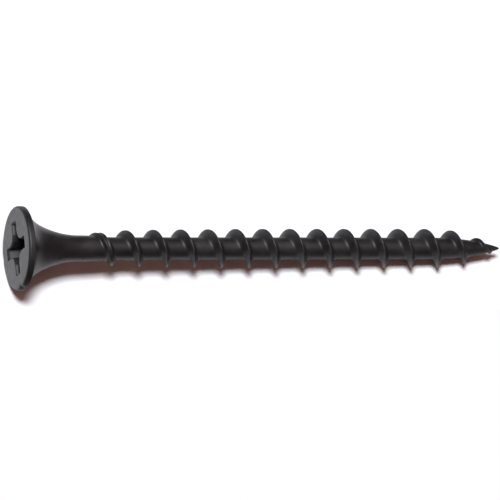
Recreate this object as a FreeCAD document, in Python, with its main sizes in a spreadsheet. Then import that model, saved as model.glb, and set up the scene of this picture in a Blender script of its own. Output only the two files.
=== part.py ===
"""Bugle-head wood screw with a cross recess, a coarse single-start thread and a gimlet point.

The screw is one piece of steel.  Its axis lies along +X, from the flat of the head at X = 0 to the
tip, and +Z is up.  The driving dimensions, in millimetres and degrees, are in the spreadsheet.
"""
import FreeCAD, Part
import math
import os

import Sketcher
from FreeCAD import Placement, Rotation, Vector

X_AXIS = Vector(1, 0, 0)
Z_AXIS = Vector(0, 0, 1)

DIMENSIONS = [
    ("screw_length", 50.8, "flat of the head to the tip"),
    ("head_radius", 4.1, "rim of the head"),
    ("rim_land", 0.7, "thickness of the rim"),
    ("rim_round", 0.24, "rounding of the rim's front edge"),
    ("flare_outer_radius", 3.6, "bugle arc next to the rim"),
    ("flare_inner_radius", 9.0, "bugle arc next to the shank"),
    ("flare_joint", 2.2, "from the head's flat to where the two bugle arcs meet"),
    ("flare_end", 6.47, "from the head's flat to where the bugle becomes the shank"),
    ("shank_radius", 1.24, "plain shank under the head"),
    ("shank_end", 8.6, "from the head's flat to the end of the plain shank"),
    ("root_start", 9.4, "from the head's flat to the start of the thread's root"),
    ("root_radius", 1.08, "root of the thread"),
    ("point_start", 44.8, "from the head's flat to the start of the point"),
    ("point_arc_radius", 17.85, "ogive of the point"),
    ("thread_radius", 1.93, "full crest of the thread"),
    ("thread_pitch", 2.862, "advance in one turn"),
    ("thread_start", 7.25, "from the head's flat to the first trace of the thread"),
    ("thread_end", 50.0, "from the head's flat to where the thread dies on the point"),
    ("thread_clock_station", 11.24, "a place along the screw where the clock angle is stated"),
    ("thread_clock", 32.4, "angle of the crest at that place, from +Y towards +Z"),
    ("flank_slope", 0.44, "half-width that a flank gains per unit of height"),
    ("ridge_bury", 0.12, "depth of the ridge's base under the root"),
    ("crest_half_width", 0.06, "half-width of the crest's land"),
    ("growth_gap", 0.16, "how far the crest falls short of thread_radius at the clock station"),
    ("growth_length", 5.5, "length over which that shortfall fades"),
    ("start_gap", 0.36, "further shortfall at the thread's first trace"),
    ("start_length", 2.4, "length over which the further shortfall ends"),
    ("blunt_gain", 0.22, "extra half-width of the crest's land at the thread's first trace"),
    ("blunt_length", 1.5, "length over which the extra width fades"),
    ("crest_taper_start", 43.9, "from the head's flat to where the crest starts to fall"),
    ("crest_taper_radius", 12.0, "arc of the crest's fall towards the tip"),
    ("wing_half_span", 2.6, "recess: axis to a wing's end, at the mouth"),
    ("wing_half_width", 0.62, "recess: half a wing's width, at the mouth"),
    ("wing_depth", 2.15, "recess: depth of the wings"),
    ("wing_floor_half_span", 1.53, "recess: axis to a wing's end, at its floor"),
    ("wing_floor_half_width", 0.45, "recess: half a wing's width, at its floor"),
    ("corner_half_width", 1.25, "recess: half the width of the hollow between the wings, at the mouth"),
    ("corner_floor_half_width", 1.0, "recess: the same, at the wings' floor"),
    ("recess_point_radius", 0.9, "recess: radius of the conical bottom"),
    ("recess_point_depth", 0.45, "recess: height of the conical bottom"),
    ("recess_clock", 17.0, "angle of one wing, from +Y towards +Z"),
]

SAMPLES_PER_TURN = 18

doc = FreeCAD.newDocument("wood_screw")
sheet = doc.addObject("Spreadsheet::Sheet", "Dimensions")


def fill_sheet():
    """Each dimension gets a row: its name, its value with an alias, and a note."""
    for row, (name, value, note) in enumerate(DIMENSIONS, start=1):
        sheet.set(f"A{row}", name)
        sheet.set(f"B{row}", str(value))
        sheet.setAlias(f"B{row}", name)
        sheet.set(f"C{row}", note)
    doc.recompute()


def size(name):
    return float(getattr(sheet, name))


def bind(feature, prop, expression):
    feature.setExpression(prop, expression)


def origin_plane(body, role):
    return next(f for f in body.Origin.OriginFeatures if f.Role == role)


# --- the blank: head, bugle, shank, root and point, turned about X -------------------------------

def arc(centre, radius, start, end):
    """An arc through the angles of two points, anticlockwise, in the sketch's plane."""
    angles = [math.atan2(p.y - centre.y, p.x - centre.x) for p in (start, end)]
    return Part.ArcOfCircle(Part.Circle(centre, Z_AXIS, radius), *angles)


def profile_geometry():
    """The blank's half section: X along the screw, Y the distance from its axis."""
    length, rim, edge = size("screw_length"), size("head_radius"), size("rim_round")
    shank, root = size("shank_radius"), size("root_radius")
    inner, outer = size("flare_inner_radius"), size("flare_outer_radius")

    inner_centre = Vector(size("flare_end"), shank + inner, 0)
    run = size("flare_end") - size("flare_joint")
    joint = Vector(size("flare_joint"), inner_centre.y - math.sqrt(inner**2 - run**2), 0)
    outer_centre = joint + (inner_centre - joint) * (outer / inner)
    reach = outer_centre.x - size("rim_land")
    shoulder = Vector(size("rim_land"), outer_centre.y - math.sqrt(outer**2 - reach**2), 0)

    point_start, ogive = size("point_start"), size("point_arc_radius")
    point_centre = Vector(point_start, root - ogive, 0)
    tip = Vector(length, point_centre.y + math.sqrt(ogive**2 - (length - point_start)**2), 0)

    origin = Vector(0, 0, 0)
    face_edge = Vector(0, rim - edge, 0)
    rim_front = Vector(edge, rim, 0)
    rim_back = Vector(size("rim_land"), rim, 0)
    flare_end = Vector(size("flare_end"), shank, 0)
    shank_end = Vector(size("shank_end"), shank, 0)
    root_start = Vector(size("root_start"), root, 0)
    root_end = Vector(point_start, root, 0)
    tip_centre = Vector(length, 0, 0)
    return {
        "face": Part.LineSegment(origin, face_edge),
        "front_round": arc(Vector(edge, rim - edge, 0), edge, rim_front, face_edge),
        "rim": Part.LineSegment(rim_front, rim_back),
        "shoulder": Part.LineSegment(rim_back, shoulder),
        "outer_flare": arc(outer_centre, outer, shoulder, joint),
        "inner_flare": arc(inner_centre, inner, joint, flare_end),
        "shank": Part.LineSegment(flare_end, shank_end),
        "step": Part.LineSegment(shank_end, root_start),
        "root": Part.LineSegment(root_start, root_end),
        "point": arc(point_centre, ogive, tip, root_end),
        "tip": Part.LineSegment(tip, tip_centre),
        "axis": Part.LineSegment(tip_centre, origin),
    }


def constrain_profile(sketch, curves):
    """Joins the profile's ends and ties its sizes to the sheet."""
    number = {name: i for i, name in enumerate(curves)}
    start, end, origin = 1, 2, -1
    ends = {name: (start, end) for name in curves}
    ends["front_round"] = ends["point"] = (end, start)      # drawn the other way round
    names = list(curves)
    tangent_joints = {"front_round", "rim", "inner_flare", "shank", "point"}
    for name, following in zip(names, names[1:] + names[:1]):
        if following in tangent_joints:
            kind = "Tangent"
        else:
            kind = "Coincident"
        sketch.addConstraint(Sketcher.Constraint(
            kind, number[name], ends[name][1], number[following], ends[following][0]))
    sketch.addConstraint(Sketcher.Constraint("Coincident", number["face"], start, origin, start))
    for name in ("face", "shoulder", "tip"):
        sketch.addConstraint(Sketcher.Constraint("Vertical", number[name]))
    for name in ("rim", "shank", "root", "axis"):
        sketch.addConstraint(Sketcher.Constraint("Horizontal", number[name]))

    def dimension(kind, name, vertex, cell):
        where = (number[name],) if kind == "Radius" else (origin, start, number[name], vertex)
        index = sketch.addConstraint(Sketcher.Constraint(kind, *where, size(cell)))
        bind(sketch, f"Constraints[{index}]", f"Dimensions.{cell}")

    dimension("DistanceY", "rim", end, "head_radius")
    dimension("DistanceX", "rim", end, "rim_land")
    dimension("Radius", "front_round", None, "rim_round")
    dimension("Radius", "outer_flare", None, "flare_outer_radius")
    dimension("Radius", "inner_flare", None, "flare_inner_radius")
    dimension("DistanceX", "outer_flare", end, "flare_joint")
    dimension("DistanceX", "shank", start, "flare_end")
    dimension("DistanceY", "shank", start, "shank_radius")
    dimension("DistanceX", "shank", end, "shank_end")
    dimension("DistanceX", "root", start, "root_start")
    dimension("DistanceY", "root", start, "root_radius")
    dimension("DistanceX", "root", end, "point_start")
    dimension("Radius", "point", None, "point_arc_radius")
    dimension("DistanceX", "axis", start, "screw_length")


def make_blank():
    body = doc.addObject("PartDesign::Body", "Blank")
    sketch = body.newObject("Sketcher::SketchObject", "BlankProfile")
    sketch.AttachmentSupport = [(origin_plane(body, "XZ_Plane"), "")]
    sketch.MapMode = "FlatFace"
    curves = profile_geometry()
    sketch.addGeometry(list(curves.values()), False)
    constrain_profile(sketch, curves)
    turned = body.newObject("PartDesign::Revolution", "TurnedBlank")
    turned.Profile = sketch
    turned.ReferenceAxis = (sketch, ["H_Axis"])
    turned.Angle = 360
    doc.recompute()
    return body


# --- the drive recess ----------------------------------------------------------------------------

def into_head(turn):
    """Turns a primitive whose Y axis is its depth so that Y points into the head, then clocks it."""
    return Placement(Vector(0, 0, 0), Rotation(X_AXIS, turn) * Rotation(Z_AXIS, -90))


def cut_wedge(body, name, turn, mouth, floor):
    """Cuts a hollow whose rectangle shrinks from the mouth to the floor; each is two half-sizes."""
    wedge = body.newObject("PartDesign::SubtractiveWedge", name)
    for prop, expression in {
        "Xmin": f"-Dimensions.{mouth[0]}", "Xmax": f"Dimensions.{mouth[0]}",
        "Zmin": f"-Dimensions.{mouth[1]}", "Zmax": f"Dimensions.{mouth[1]}",
        "X2min": f"-Dimensions.{floor[0]}", "X2max": f"Dimensions.{floor[0]}",
        "Z2min": f"-Dimensions.{floor[1]}", "Z2max": f"Dimensions.{floor[1]}",
        "Ymin": "0", "Ymax": "Dimensions.wing_depth",
    }.items():
        bind(wedge, prop, expression)
    wedge.Placement = into_head(turn)
    doc.recompute()


def cut_recess(body):
    """Two crossed wings, the four hollows between them and a conical bottom."""
    clock = size("recess_clock")
    mouth = ("wing_half_span", "wing_half_width")
    floor = ("wing_floor_half_span", "wing_floor_half_width")
    cut_wedge(body, "FirstWing", clock, mouth, floor)
    cut_wedge(body, "SecondWing", clock + 90, mouth, floor)
    cut_wedge(body, "Corners", clock + 45, ("corner_half_width",) * 2,
              ("corner_floor_half_width",) * 2)
    cone = body.newObject("PartDesign::SubtractiveCone", "RecessPoint")
    bind(cone, "Radius1", "Dimensions.recess_point_radius")
    cone.Radius2 = 0
    bind(cone, "Height", "Dimensions.recess_point_depth")
    cone.Placement = Placement(Vector(size("wing_depth"), 0, 0), Rotation(Z_AXIS, X_AXIS))
    doc.recompute()


# --- the thread ----------------------------------------------------------------------------------

def root_at(x):
    """Radius of the blank under the thread."""
    beyond = max(0.0, x - size("point_start"))
    ogive = size("point_arc_radius")
    return size("root_radius") - (ogive - math.sqrt(ogive**2 - beyond**2))


def crest_at(x):
    """Radius of the crest: it grows over the first turns and falls along the point."""
    past = x - size("thread_start")
    growth = size("growth_gap") * math.exp((size("thread_clock_station") - x) / size("growth_length"))
    start = size("start_gap") * max(0.0, 1 - past / size("start_length"))**2
    beyond = max(0.0, x - size("crest_taper_start"))
    fall_radius = size("crest_taper_radius")
    fall = fall_radius - math.sqrt(fall_radius**2 - beyond**2)
    return size("thread_radius") - growth - start - fall


def ridge_section(x):
    """The ridge's four corners where the crest's middle is at x, head side first."""
    angle = math.radians(size("thread_clock"))
    angle += 2 * math.pi * (x - size("thread_clock_station")) / size("thread_pitch")
    base = max(root_at(x) - size("ridge_bury"), 0.02)
    crest = crest_at(x)
    past = x - size("thread_start")
    land = size("crest_half_width") + size("blunt_gain") * math.exp(-past / size("blunt_length"))
    foot = land + (crest - base) * size("flank_slope")
    corners = ((-foot, base), (-land, crest), (land, crest), (foot, base))
    return angle, [
        Vector(x + dx, radius * math.cos(angle), radius * math.sin(angle))
        for dx, radius in corners
    ]


def ridge_turn(begin, finish):
    """A stretch of the ridge as a closed solid: four helical faces and two flat ends."""
    count = max(6, round((finish - begin) / size("thread_pitch") * SAMPLES_PER_TURN))
    sections = [ridge_section(begin + (finish - begin) * i / count) for i in range(count + 1)]
    angles = [angle for angle, _ in sections]
    edges = []
    for corner in range(4):
        curve = Part.BSplineCurve()
        curve.interpolate(Points=[points[corner] for _, points in sections], Parameters=angles)
        edges.append(curve.toShape())
    faces = [Part.makeRuledSurface(edges[i], edges[(i + 1) % 4]) for i in range(4)]
    for _, points in (sections[0], sections[-1]):
        faces.append(Part.Face(Part.makePolygon(points + points[:1])))
    shell = Part.makeShell(faces)
    shell.sewShape()
    solid = Part.makeSolid(shell)
    if solid.Volume < 0:
        solid.reverse()
    return solid


def make_ridges():
    """One feature for each turn of the thread."""
    first, last, pitch = size("thread_start"), size("thread_end"), size("thread_pitch")
    turns = math.ceil((last - first) / pitch)
    ridges = []
    for i in range(turns):
        ridge = doc.addObject("Part::Feature", f"ThreadTurn{i + 1:02d}")
        ridge.Shape = ridge_turn(first + i * pitch, min(last, first + (i + 1) * pitch))
        ridges.append(ridge)
    return ridges


def check(names):
    """Stops the build if anything failed to compute or a sub-part isn't one valid solid."""
    for item in doc.Objects:
        if {"Invalid", "Error"} & set(item.State):
            raise RuntimeError(f"{item.Name} did not compute: {item.State}")
    for name in names:
        shape = doc.getObjectsByLabel(name)[0].Shape
        if shape.isNull() or not shape.isValid() or len(shape.Solids) != 1:
            raise RuntimeError(f"{name} is not one valid solid")


def main():
    fill_sheet()
    blank = make_blank()
    print("blank", round(blank.Shape.Volume, 3))
    cut_recess(blank)
    print("with recess", round(blank.Shape.Volume, 3))
    screw = doc.addObject("Part::MultiFuse", "Screw")
    screw.Shapes = [blank] + make_ridges()
    screw.Label = "screw"
    doc.recompute()
    check(["screw"])
    box = screw.Shape.BoundBox
    print("screw", round(screw.Shape.Volume, 3), "mm3", len(screw.Shape.Faces), "faces", box)
    os.makedirs("parts", exist_ok=True)
    screw.Shape.exportStep("parts/screw.step")


main()
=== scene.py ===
"""Looks of a black phosphated wood screw with a bugle head, a cross recess and a coarse thread.

The screw lies on a pale floor.  Its axis is +X, from the flat of the head at X = 0 to the tip.  The
shape functions work in millimetres; only add_mesh and the stage turn them into metres.
"""
import math

import bmesh
import bpy
from mathutils import Matrix, Vector, noise


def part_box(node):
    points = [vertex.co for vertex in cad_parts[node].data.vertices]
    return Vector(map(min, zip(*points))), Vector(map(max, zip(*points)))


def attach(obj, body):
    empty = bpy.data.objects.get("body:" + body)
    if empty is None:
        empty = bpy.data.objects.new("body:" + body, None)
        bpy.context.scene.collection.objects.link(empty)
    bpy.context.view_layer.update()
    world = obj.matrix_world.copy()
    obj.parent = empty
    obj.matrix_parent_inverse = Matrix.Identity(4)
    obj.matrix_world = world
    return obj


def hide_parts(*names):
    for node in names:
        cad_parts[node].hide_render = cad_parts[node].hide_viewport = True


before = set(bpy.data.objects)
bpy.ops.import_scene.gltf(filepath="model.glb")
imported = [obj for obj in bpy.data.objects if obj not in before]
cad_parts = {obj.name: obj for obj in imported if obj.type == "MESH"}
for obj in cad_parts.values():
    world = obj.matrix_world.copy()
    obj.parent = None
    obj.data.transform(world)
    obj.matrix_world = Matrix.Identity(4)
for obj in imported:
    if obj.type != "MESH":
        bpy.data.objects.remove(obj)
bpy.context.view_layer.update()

MM = 0.001
NODE = "screw"

# --- driving sizes, in millimetres; the length and the head come from the frame --------------------

LOW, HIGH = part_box(NODE)
LENGTH = (HIGH.x - LOW.x) / MM
HEAD_RADIUS = HIGH.y / MM

RIM_LAND = 0.7
RIM_FRONT_ROUND = 0.26
RIM_BACK_ROUND = 0.1
FLARE_OUTER_ARC = 3.6
FLARE_INNER_ARC = 9.0
FLARE_JOINT = 2.2
FLARE_END = 6.47

STRIP_START = 6.0           # where the closed rings of the head end and the helical mesh begins
PITCH = 2.862
CLOCK_STATION = 11.24       # a crest passes the clock angle here
CLOCK_ANGLE = math.radians(32.4)
FLANK_SLOPE = 0.44          # half-width that a flank gains per unit of height
ROOT_FILLET = 0.5
CREST_ROUND = 0.05
CREST_LAND = 0.06
START_LAND = 0.24           # the first turn isn't rolled full: its crest is wide, with a seam along it
START_LAND_FADE = 1.5
SEAM_DEPTH = 0.1
SEAM_FADE = 0.8
SEAM_STATION = 8.27

RECESS_CLOCK = math.radians(17.0)
WING_SPAN = 2.6
WING_HALF_WIDTH = 0.56
CORNER_REACH = 1.22         # axis to the edge between two wings
SPAN_TAPER = 0.5            # what each of them loses per unit of depth
WIDTH_TAPER = 0.08
CORNER_TAPER = 0.12
CORNER_SPLAY = math.tan(math.radians(25))
WING_DEPTH = 2.15
RECESS_DEPTH = 2.6
LIP_ROUND = 0.12
OUTLINE_ROUNDS = [0.08, 0.2, 0.1, 0.2, 0.08]    # of the recess's corners, from one wing to the next

# Knocks on the rim: angle from +Y towards +Z, x, depth and reach.
DENTS = [(math.radians(-73.0), 0.05, 0.13, 0.25), (math.radians(192.0), 0.0, 0.2, 0.35)]

SLOW_SWELL = 0.012          # unevenness of the metal, over a millimetre or so and over less
FAST_SWELL = 0.006
FACE_SINK = 0.01            # the face is uneven only inwards, from this far in
FACE_SHARE = 0.35

# The face and the crests are made lighter: partly real rubbing of the coating, partly painted sheen, a
# painted reflection of the bright floor.
FACE_WEAR_AND_SHEEN = 0.72            # how much lighter the coating is made: partly real rubbing, partly painted sheen
CREST_WEAR_AND_SHEEN = 0.3

FLOOR_GAP = 0.03            # the floor is this far below the places that touch it
FLOOR_SIDE = 1500.0
FLOOR_FRONT = 6.0

CAMERA_DISTANCE = 590.0
CAMERA_ELEVATION = math.radians(52.0)
CAMERA_TILT = math.radians(20.98)       # the screw's axis leans this much out of the picture
CAMERA_ROLL = math.radians(0.01)
CAMERA_TARGET_X = 24.24
CAMERA_TARGET_DROP = 0.156

# Radius along the screw.  Each list is joined by a smooth curve that doesn't overshoot.
CORE = [(STRIP_START, 1.28), (7.4, 1.25), (8.6, 1.2), (9.35, 1.1), (10.2, 1.09), (30.0, 1.08),
        (44.4, 1.06), (46.0, 0.97), (47.3, 0.85), (49.0, 0.57), (50.2, 0.27), (50.72, 0.09),
        (LENGTH, 0.0)]
CREST = [(6.2, 1.2), (6.9, 1.32), (8.27, 1.53), (9.7, 1.66), (11.24, 1.77), (14.2, 1.83),
         (20.0, 1.875), (24.0, 1.92), (28.0, 1.93), (43.4, 1.93), (44.6, 1.91), (46.0, 1.71),
         (46.8, 1.58), (48.17, 1.12), (49.6, 0.64), (50.4, 0.2), (LENGTH, 0.0)]


# --- small tools -----------------------------------------------------------------------------------

def smooth_curve(stations):
    """A function through the stations: a cubic on each stretch that keeps the points' ups and downs."""
    xs = [x for x, _ in stations]
    ys = [y for _, y in stations]
    slopes = [(y1 - y0) / (x1 - x0) for x0, x1, y0, y1 in zip(xs, xs[1:], ys, ys[1:])]
    tangents = [slopes[0]]
    for before, after in zip(slopes, slopes[1:]):
        if before * after <= 0:
            tangents.append(0.0)
        else:
            tangents.append(2 * before * after / (before + after))
    tangents.append(slopes[-1])

    def value(x):
        if x <= xs[0]:
            return ys[0]
        if x >= xs[-1]:
            return ys[-1]
        i = max(k for k in range(len(xs) - 1) if xs[k] <= x)
        span = xs[i + 1] - xs[i]
        t = (x - xs[i]) / span
        return ((1 + 2 * t) * (1 - t) ** 2 * ys[i] + t * (1 - t) ** 2 * span * tangents[i]
                + t * t * (3 - 2 * t) * ys[i + 1] - t * t * (1 - t) * span * tangents[i + 1])

    return value


def smooth_max(a, b, blend):
    """The larger of a and b, with a fillet where they come within blend of each other."""
    near = max(blend - abs(a - b), 0.0) / blend
    return max(a, b) + near * near * blend / 4


def mix(a, b, t):
    return a + (b - a) * t


core_radius = smooth_curve(CORE)
crest_radius = smooth_curve(CREST)


# --- the shape -------------------------------------------------------------------------------------

def recess_outline(depth, grow=0.0):
    """A quarter of the recess's outline at a depth, from one wing's end to just before the next's."""
    span = WING_SPAN - SPAN_TAPER * depth + grow
    half = WING_HALF_WIDTH - WIDTH_TAPER * depth + grow
    inner = (CORNER_REACH - CORNER_TAPER * depth + grow) / math.sqrt(2)
    outer = min(inner + (inner - half) / CORNER_SPLAY, span - 0.1)
    corners = [(span, half), (outer, half), (inner, inner), (half, outer), (half, span)]
    between = [1, 3, 1, 1, 3, 1]            # extra points before each corner, and after the last

    ends = [Vector((span, 0.0))] + [Vector(c) for c in corners] + [Vector((0.0, span))]
    path = [ends[0]]
    for i in range(1, len(ends)):
        here = ends[i]
        arrive = (here - ends[i - 1]).normalized()
        if i < len(ends) - 1:
            leave = (ends[i + 1] - here).normalized()
            turn = arrive.angle(leave)
            cut = OUTLINE_ROUNDS[i - 1] * math.tan(turn / 2)
            cut = min(cut, 0.45 * (here - ends[i - 1]).length, 0.45 * (ends[i + 1] - here).length)
            first, last = here - arrive * cut, here + leave * cut
        else:
            first = here
        start = path[-1]
        for k in range(1, between[i - 1] + 1):
            path.append(start.lerp(first, k / (between[i - 1] + 1)))
        if i < len(ends) - 1:
            for u in (0.0, 1 / 3, 2 / 3, 1.0):
                path.append(first * (1 - u) ** 2 + here * 2 * u * (1 - u) + last * u * u)
    return path


COLUMNS = 4 * len(recess_outline(0.0))


def column_angle(i):
    """Angle of a mesh column, from +Y towards +Z.  Column 0 is on the middle of a wing."""
    return RECESS_CLOCK + 2 * math.pi * i / COLUMNS


def recess_ring(x, depth, grow=0.0):
    """The whole outline as points in space, at x along the screw."""
    quarter = recess_outline(depth, grow)
    ring = []
    for i in range(COLUMNS):
        turn = RECESS_CLOCK + math.pi / 2 * (i // len(quarter))
        a, b = quarter[i % len(quarter)]
        ring.append(Vector((x, a * math.cos(turn) - b * math.sin(turn),
                            a * math.sin(turn) + b * math.cos(turn))))
    return ring


def round_ring(x, radius):
    return [Vector((x, radius * math.cos(column_angle(i)), radius * math.sin(column_angle(i))))
            for i in range(COLUMNS)]


def blend_rings(a, b, t):
    return [p.lerp(q, t) for p, q in zip(a, b)]


def recess_rings():
    """From the pit of the recess out to its lip on the face."""
    pit = recess_ring(WING_DEPTH, WING_DEPTH)
    centre = Vector((RECESS_DEPTH, 0.0, 0.0))
    rings = []
    for t in (0.12, 0.3, 0.55, 0.8, 0.93):
        rings.append([centre.lerp(p, t) for p in pit])
    for depth in (WING_DEPTH, 2.1, 1.9, 1.6, 1.3, 1.0, 0.7, 0.45, 0.28, LIP_ROUND):
        rings.append(recess_ring(depth, depth))
    for step in (18, 36, 54, 72, 90):
        a = math.radians(step)
        grow = LIP_ROUND * (1 - math.cos(a))
        rings.append(recess_ring(LIP_ROUND * (1 - math.sin(a)), 0.0, grow))
    return rings


def face_rings():
    """From the lip of the recess out to the edge of the flat face."""
    lip = recess_ring(0.0, 0.0, LIP_ROUND)
    edge = round_ring(0.0, HEAD_RADIUS - RIM_FRONT_ROUND)
    return [blend_rings(lip, edge, t) for t in (0.05, 0.2, 0.4, 0.6, 0.8, 0.93, 0.98, 1.0)]


def flare_radius(x):
    """Two arcs that meet smoothly: a tight one beside the rim and a long one beside the shank."""
    shank = core_radius(FLARE_END)
    inner_height = shank + FLARE_INNER_ARC
    run = FLARE_END - FLARE_JOINT
    joint = inner_height - math.sqrt(FLARE_INNER_ARC ** 2 - run ** 2)
    if x >= FLARE_END:
        return core_radius(x)
    if x >= FLARE_JOINT:
        return inner_height - math.sqrt(FLARE_INNER_ARC ** 2 - (FLARE_END - x) ** 2)
    share = FLARE_OUTER_ARC / FLARE_INNER_ARC
    centre_x = FLARE_JOINT + run * share
    centre_r = joint + (inner_height - joint) * share
    return centre_r - math.sqrt(FLARE_OUTER_ARC ** 2 - (centre_x - x) ** 2)


def head_profile():
    """(x, radius) from just past the face's edge, over the rim and down the flare."""
    points = []
    for step in (15, 30, 45, 60, 75, 90):
        a = math.radians(step)
        points.append((RIM_FRONT_ROUND * (1 - math.cos(a)),
                       HEAD_RADIUS - RIM_FRONT_ROUND * (1 - math.sin(a))))
    for t in (0.15, 0.4, 0.65, 0.9):
        points.append((mix(RIM_FRONT_ROUND, RIM_LAND - RIM_BACK_ROUND, t), HEAD_RADIUS))
    for step in (0, 15, 30, 45, 60):
        a = math.radians(step)
        points.append((RIM_LAND - RIM_BACK_ROUND * (1 - math.sin(a)),
                       HEAD_RADIUS - RIM_BACK_ROUND * (1 - math.cos(a))))
    x = RIM_LAND + 0.02
    while x < STRIP_START:
        points.append((x, flare_radius(x)))
        x += 0.06 + 0.03 * (x - RIM_LAND)
    return points


def side_steps(land, foot):
    """Distances from the crest's middle to half a pitch away, close together where the shape turns."""
    steps = [0.0, 0.5 * land, 0.8 * land, land]
    steps += [mix(land, foot, t) for t in (0.1, 0.25, 0.45, 0.65, 0.82, 1.0)]
    steps += [mix(foot, PITCH / 2, t) for t in (0.08, 0.18, 0.32, 0.5, 0.74, 1.0)]
    return steps


def thread_section(crest_x):
    """(offset along the axis, radius) over one pitch, head side first, with the crest in the middle."""
    crest = crest_radius(crest_x)
    height = max(crest - core_radius(crest_x), 0.0)
    past = max(crest_x - SEAM_STATION, -1.5)
    land = CREST_LAND + START_LAND * math.exp(-past / START_LAND_FADE)
    land = min(land, 0.06 + 1.2 * height)
    seam = min(SEAM_DEPTH * math.exp(-past / SEAM_FADE), 0.4 * height)
    foot = land + height * FLANK_SLOPE
    fillet = min(ROOT_FILLET, 0.8 * height) + 0.001
    side = side_steps(land, foot)
    points = []
    for offset in [-s for s in reversed(side)] + side[1:]:
        reach = abs(offset)
        x = min(max(crest_x + offset, STRIP_START), LENGTH)
        top = crest - seam * math.exp(-(reach / (0.4 * land)) ** 2)
        flank = crest + (land - reach) / FLANK_SLOPE
        ridge = -smooth_max(-top, -flank, CREST_ROUND)
        radius = smooth_max(core_radius(x), ridge, fillet)
        if x >= LENGTH:
            radius = 0.0
        if x <= STRIP_START:
            radius = flare_radius(STRIP_START)
        points.append((x, radius))
    return points


def first_crest():
    """Where the crest is on column 0, just before the helical mesh begins."""
    turns = (column_angle(0) - CLOCK_ANGLE) / (2 * math.pi)
    x = CLOCK_STATION + PITCH * turns
    while x > STRIP_START - PITCH / 2:
        x -= PITCH
    return x


def roughen(point):
    """Small unevenness of the forged and rolled metal; the face only sinks in."""
    slow = noise.noise(point * 0.9) * SLOW_SWELL
    fast = noise.noise(point * 2.7 + Vector((9, 4, 2))) * FAST_SWELL
    radius = math.hypot(point.y, point.z)
    if radius < 0.3:
        return point
    face = max(0.0, 1 - point.x / 0.1)
    outward = Vector((0.0, point.y, point.z)) / radius
    swell = (slow + fast) * min(1.0, (radius - 0.3) / 0.5) * (1 - face)
    return point + outward * swell + Vector(((FACE_SINK + FACE_SHARE * slow) * face, 0.0, 0.0))


def dent(point):
    """Knocks on the head's edge: each pushes the metal back from a place on the rim."""
    for turn, x, depth, reach in DENTS:
        place = Vector((x, HEAD_RADIUS * math.cos(turn), HEAD_RADIUS * math.sin(turn)))
        near = math.exp(-((point - place).length / reach) ** 2)
        point = point - (place - Vector((x + 0.8 * HEAD_RADIUS, 0.0, 0.0))).normalized() * depth * near
    return point


def wear_and_sheen_at(point):
    """How much lighter the coating is made, from 0 to 1: most on the face, less towards the thread's
    crest. This is partly real rubbing and partly painted sheen, a painted reflection of the bright
    floor.
    """
    radius = math.hypot(point.y, point.z)
    if point.x < 0.02:
        return FACE_WEAR_AND_SHEEN
    if point.x < STRIP_START + 1.0:
        return 0.0
    height = radius - core_radius(point.x)
    return CREST_WEAR_AND_SHEEN * max(0.0, min(1.0, (height - 0.2) / 0.6))


def coarse_at(point):
    """1 where the coating is coarser: in the recess, on the rim and at the thread's roots."""
    radius = math.hypot(point.y, point.z)
    if point.x > STRIP_START + 1.0:
        height = radius - core_radius(point.x)
        begun = (point.x - STRIP_START - 1.0) / 2.0
        return max(0.0, min(1.0, begun, (0.55 - height) / 0.2))
    in_recess = 0.035 < point.x < RECESS_DEPTH + 0.1
    in_recess = in_recess and radius < WING_SPAN + 0.2 - SPAN_TAPER * point.x
    on_rim = point.x < RIM_LAND and radius > HEAD_RADIUS - 0.15
    return float(in_recess or on_rim)


def screw_mesh():
    """The whole screw as one closed surface."""
    bm = bmesh.new()

    def add_ring(points):
        return [bm.verts.new(p) for p in points]

    rings = [add_ring(r) for r in recess_rings() + face_rings()]
    rings += [add_ring(round_ring(x, r)) for x, r in head_profile()]
    rings.append(add_ring(round_ring(STRIP_START, flare_radius(STRIP_START))))
    for ring, following in zip(rings, rings[1:]):
        for i in range(COLUMNS):
            j = (i + 1) % COLUMNS
            bm.faces.new((ring[i], ring[j], following[j], following[i]))
    centre = bm.verts.new((RECESS_DEPTH, 0.0, 0.0))
    for i in range(COLUMNS):
        bm.faces.new((centre, rings[0][(i + 1) % COLUMNS], rings[0][i]))

    start = first_crest()
    columns = math.ceil((LENGTH + PITCH / 2 - start) / PITCH * COLUMNS) + 1
    strip = []
    for i in range(columns):
        angle = column_angle(i)
        points = thread_section(start + PITCH * i / COLUMNS)
        strip.append([bm.verts.new((x, r * math.cos(angle), r * math.sin(angle)))
                      for x, r in points])
    for left, right in zip(strip, strip[1:]):
        for j in range(len(left) - 1):
            corners = (left[j], right[j], right[j + 1], left[j + 1])
            flat = {(round(v.co.x, 6), round(v.co.y, 6), round(v.co.z, 6)) for v in corners}
            if len(flat) > 2:
                bm.faces.new(corners)

    bmesh.ops.remove_doubles(bm, verts=bm.verts, dist=0.0012)
    bmesh.ops.dissolve_degenerate(bm, edges=bm.edges, dist=0.0002)
    loose = [v for v in bm.verts if not v.link_faces]
    bmesh.ops.delete(bm, geom=loose, context="VERTS")
    bmesh.ops.recalc_face_normals(bm, faces=bm.faces)
    for v in bm.verts:
        v.co = dent(roughen(v.co))
    open_edges = sum(1 for e in bm.edges if len(e.link_faces) != 2)
    print("screw mesh:", len(bm.verts), "vertices,", open_edges, "open edges, volume",
          round(bm.calc_volume(), 2), "mm3")
    return bm


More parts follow.
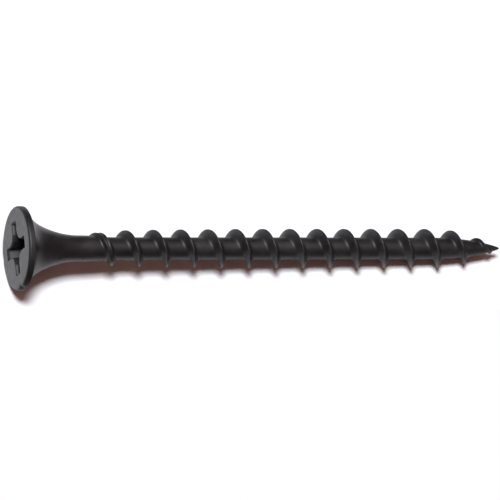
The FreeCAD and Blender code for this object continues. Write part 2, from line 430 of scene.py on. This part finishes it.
def add_mesh(name, bm):
    """Turns a mesh in millimetres into an object in metres, with its wear and painted sheen and its
    grain as attributes.
    """
    mesh = bpy.data.meshes.new(name)
    # The first attribute marks real rubbing together with painted sheen on the face and crests.
    values = {"wear_and_sheen": [wear_and_sheen_at(v.co) for v in bm.verts],
              "coarse": [coarse_at(v.co) for v in bm.verts]}
    bmesh.ops.scale(bm, vec=(MM, MM, MM), verts=bm.verts)
    bm.to_mesh(mesh)
    bm.free()
    for key, numbers in values.items():
        mesh.attributes.new(key, "FLOAT", "POINT").data.foreach_set("value", numbers)
    mesh.polygons.foreach_set("use_smooth", [True] * len(mesh.polygons))
    piece = bpy.data.objects.new(name, mesh)
    bpy.context.scene.collection.objects.link(piece)
    return piece


# --- materials -------------------------------------------------------------------------------------

def new_material(name):
    material = bpy.data.materials.new(name)
    material.use_nodes = True
    nodes = material.node_tree.nodes
    nodes.clear()
    output = nodes.new("ShaderNodeOutputMaterial")
    shader = nodes.new("ShaderNodeBsdfPrincipled")
    material.node_tree.links.new(shader.outputs["BSDF"], output.inputs["Surface"])
    return material, nodes, material.node_tree.links, shader


def noise_node(nodes, links, coordinates, scale, detail, roughness=0.5):
    """Noise whose scale is in cells per metre."""
    node = nodes.new("ShaderNodeTexNoise")
    node.inputs["Scale"].default_value = scale
    node.inputs["Detail"].default_value = detail
    node.inputs["Roughness"].default_value = roughness
    links.new(coordinates.outputs["Object"], node.inputs["Vector"])
    return node


def ramp_node(nodes, links, source, stops):
    """A colour ramp over a value; each stop is a place and a colour."""
    node = nodes.new("ShaderNodeValToRGB")
    ramp = node.color_ramp
    while len(ramp.elements) < len(stops):
        ramp.elements.new(0.5)
    for element, (place, colour) in zip(ramp.elements, stops):
        element.position = place
        element.color = (*colour, 1.0)
    links.new(source, node.inputs["Fac"])
    return node


def phosphate_material():
    """Black phosphate over steel: fine dark crystals, patchy tone, and a lighter colour on the face and
    crests that is partly real rubbing and partly painted sheen.
    """
    material, nodes, links, shader = new_material("black_phosphate")
    where = nodes.new("ShaderNodeTexCoord")
    patches = noise_node(nodes, links, where, 450, 4, 0.6)
    tone = ramp_node(nodes, links, patches.outputs["Fac"], [
        (0.32, (0.005, 0.0047, 0.0047)), (0.55, (0.009, 0.0084, 0.0084)),
        (0.72, (0.015, 0.014, 0.014))])
    crystals = noise_node(nodes, links, where, 9000, 3, 0.7)
    grain = ramp_node(nodes, links, crystals.outputs["Fac"], [
        (0.35, (0.72, 0.72, 0.72)), (0.65, (1.25, 1.25, 1.25))])
    toned = nodes.new("ShaderNodeMix")
    toned.data_type = "RGBA"
    toned.blend_type = "MULTIPLY"
    toned.inputs["Factor"].default_value = 1.0
    links.new(tone.outputs["Color"], toned.inputs["A"])
    links.new(grain.outputs["Color"], toned.inputs["B"])

    # The lighter colour below is partly real rubbing and partly painted sheen: a painted reflection of
    # the bright floor on the face and the crests.
    rub_and_sheen = nodes.new("ShaderNodeAttribute")
    rub_and_sheen.attribute_name = "wear_and_sheen"
    breakup = noise_node(nodes, links, where, 1600, 3, 0.6)
    patchy = nodes.new("ShaderNodeMapRange")
    patchy.inputs["From Min"].default_value = 0.3
    patchy.inputs["From Max"].default_value = 0.65
    links.new(breakup.outputs["Fac"], patchy.inputs["Value"])
    amount = nodes.new("ShaderNodeMath")
    amount.operation = "MULTIPLY"
    links.new(rub_and_sheen.outputs["Fac"], amount.inputs[0])
    links.new(patchy.outputs["Result"], amount.inputs[1])
    share = nodes.new("ShaderNodeMath")
    share.operation = "MULTIPLY"
    share.inputs[1].default_value = 0.5
    links.new(amount.outputs["Value"], share.inputs[0])
    colour = nodes.new("ShaderNodeMix")
    colour.data_type = "RGBA"
    # bluish grey of the rubbed metal and of the painted reflection
    colour.inputs["B"].default_value = (0.11, 0.113, 0.12, 1.0)
    links.new(share.outputs["Value"], colour.inputs["Factor"])
    links.new(toned.outputs["Result"], colour.inputs["A"])
    links.new(colour.outputs["Result"], shader.inputs["Base Color"])

    gloss = nodes.new("ShaderNodeMapRange")
    gloss.inputs["To Min"].default_value = 0.3
    gloss.inputs["To Max"].default_value = 0.48
    links.new(patches.outputs["Fac"], gloss.inputs["Value"])
    forged = nodes.new("ShaderNodeAttribute")
    forged.attribute_name = "coarse"
    coarser = nodes.new("ShaderNodeMath")
    coarser.operation = "MULTIPLY_ADD"
    coarser.inputs[1].default_value = 0.13
    links.new(forged.outputs["Fac"], coarser.inputs[0])
    links.new(gloss.outputs["Result"], coarser.inputs[2])
    links.new(coarser.outputs["Value"], shader.inputs["Roughness"])

    coarse = noise_node(nodes, links, where, 2600, 4, 0.65)
    relief = nodes.new("ShaderNodeMath")
    relief.operation = "ADD"
    links.new(coarse.outputs["Fac"], relief.inputs[0])
    links.new(crystals.outputs["Fac"], relief.inputs[1])
    bump = nodes.new("ShaderNodeBump")
    bump.inputs["Strength"].default_value = 0.35
    bump.inputs["Distance"].default_value = 0.00002
    links.new(relief.outputs["Value"], bump.inputs["Height"])
    links.new(bump.outputs["Normal"], shader.inputs["Normal"])
    shader.inputs["Specular IOR Level"].default_value = 0.34
    return material


def floor_material():
    material, nodes, links, shader = new_material("pale_floor")
    where = nodes.new("ShaderNodeTexCoord")
    fibres = noise_node(nodes, links, where, 300, 3)
    tone = ramp_node(nodes, links, fibres.outputs["Fac"], [
        (0.3, (0.63, 0.63, 0.63)), (0.7, (0.66, 0.66, 0.66))])
    links.new(tone.outputs["Color"], shader.inputs["Base Color"])
    shader.inputs["Roughness"].default_value = 0.9
    shader.inputs["Specular IOR Level"].default_value = 0.1
    return material


# --- stage, light and camera -----------------------------------------------------------------------

def resting_slope():
    """Slope of the floor under the screw: it touches the rim and a crest near the tip."""
    down = 3 * math.pi / 2
    best = math.inf
    x = CLOCK_STATION + PITCH * (down - CLOCK_ANGLE) / (2 * math.pi)
    while x < LENGTH:
        best = min(best, (HEAD_RADIUS - crest_radius(x)) / (x - RIM_LAND + RIM_BACK_ROUND))
        x += PITCH
    return math.atan(best)


SLOPE = resting_slope()
UP = Vector((-math.sin(SLOPE), 0.0, math.cos(SLOPE)))          # square to the floor


def add_floor():
    side, front = FLOOR_SIDE * MM, FLOOR_FRONT * MM
    mesh = bpy.data.meshes.new("floor")
    mesh.from_pydata([(-side, -front, 0.0), (side, -front, 0.0), (side, side, 0.0),
                      (-side, side, 0.0)], [], [(0, 1, 2, 3)])
    floor = bpy.data.objects.new("floor", mesh)
    bpy.context.scene.collection.objects.link(floor)
    touch = Vector((RIM_LAND - RIM_BACK_ROUND, 0.0, -HEAD_RADIUS)) * MM
    floor.rotation_mode = "QUATERNION"
    floor.rotation_quaternion = Vector((0.0, 0.0, 1.0)).rotation_difference(UP)
    floor.location = touch - UP * FLOOR_GAP * MM
    mesh.materials.append(floor_material())


def add_area(name, direction, distance, size, power, colour=(1.0, 1.0, 1.0)):
    """A soft square light that looks at the middle of the screw from a direction."""
    data = bpy.data.lights.new(name, "AREA")
    data.shape = "SQUARE"
    data.size = size
    data.energy = power
    data.color = colour
    light = bpy.data.objects.new(name, data)
    towards = Vector(direction).normalized()
    middle = Vector((LENGTH / 2, 0.0, 0.0)) * MM
    light.location = middle + towards * distance
    light.rotation_mode = "QUATERNION"
    light.rotation_quaternion = towards.to_track_quat("Z", "Y")
    bpy.context.scene.collection.objects.link(light)


def add_world():
    """A dim warm room: what reaches the shadows."""
    world = bpy.data.worlds.new("room")
    world.use_nodes = True
    nodes, links = world.node_tree.nodes, world.node_tree.links
    nodes.clear()
    output = nodes.new("ShaderNodeOutputWorld")
    room = nodes.new("ShaderNodeBackground")
    room.inputs["Color"].default_value = (1.0, 0.5, 0.42, 1.0)
    room.inputs["Strength"].default_value = 0.07
    backdrop = nodes.new("ShaderNodeBackground")
    backdrop.inputs["Color"].default_value = (1.0, 1.0, 1.0, 1.0)
    rays = nodes.new("ShaderNodeLightPath")
    pick = nodes.new("ShaderNodeMixShader")
    links.new(rays.outputs["Is Camera Ray"], pick.inputs["Fac"])
    links.new(room.outputs["Background"], pick.inputs[1])
    links.new(backdrop.outputs["Background"], pick.inputs[2])
    links.new(pick.outputs["Shader"], output.inputs["Surface"])
    bpy.context.scene.world = world


def add_camera():
    """Looks down on the screw from the head's side, rolled so that the axis is level."""
    level = math.cos(CAMERA_ELEVATION)
    azimuth = -math.asin(math.sin(CAMERA_TILT) / level)
    back = Vector((math.sin(azimuth) * level, -math.cos(azimuth) * level,
                   math.sin(CAMERA_ELEVATION)))
    axis = Vector((1.0, 0.0, 0.0))
    right = (axis - back * axis.dot(back)).normalized()
    up = back.cross(right)
    right, up = right - up * CAMERA_ROLL, up + right * CAMERA_ROLL
    target = axis * CAMERA_TARGET_X - up * CAMERA_TARGET_DROP
    data = bpy.data.cameras.new("camera")
    data.sensor_width = 36.0
    data.lens = 433.3
    data.clip_start = 0.01
    data.clip_end = 20.0
    camera = bpy.data.objects.new("camera", data)
    place = Matrix((right, up, back)).transposed().to_4x4()
    place.translation = (target + back * CAMERA_DISTANCE) * MM
    camera.matrix_world = place
    bpy.context.scene.collection.objects.link(camera)
    bpy.context.scene.camera = camera


def main():
    bpy.context.scene.view_settings.view_transform = "Standard"
    screw = add_mesh("steel_screw", screw_mesh())
    screw.data.materials.append(phosphate_material())
    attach(screw, "root")
    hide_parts(NODE)
    add_floor()
    add_world()
    add_area("key", (-0.31, -0.077, 1.0), 0.9, 0.25, 14.0, (0.93, 0.98, 1.05))
    add_area("warm_ceiling", (-0.2, -0.3, 1.0), 0.9, 1.4, 3.0, (1.0, 0.55, 0.48))
    add_camera()


main()
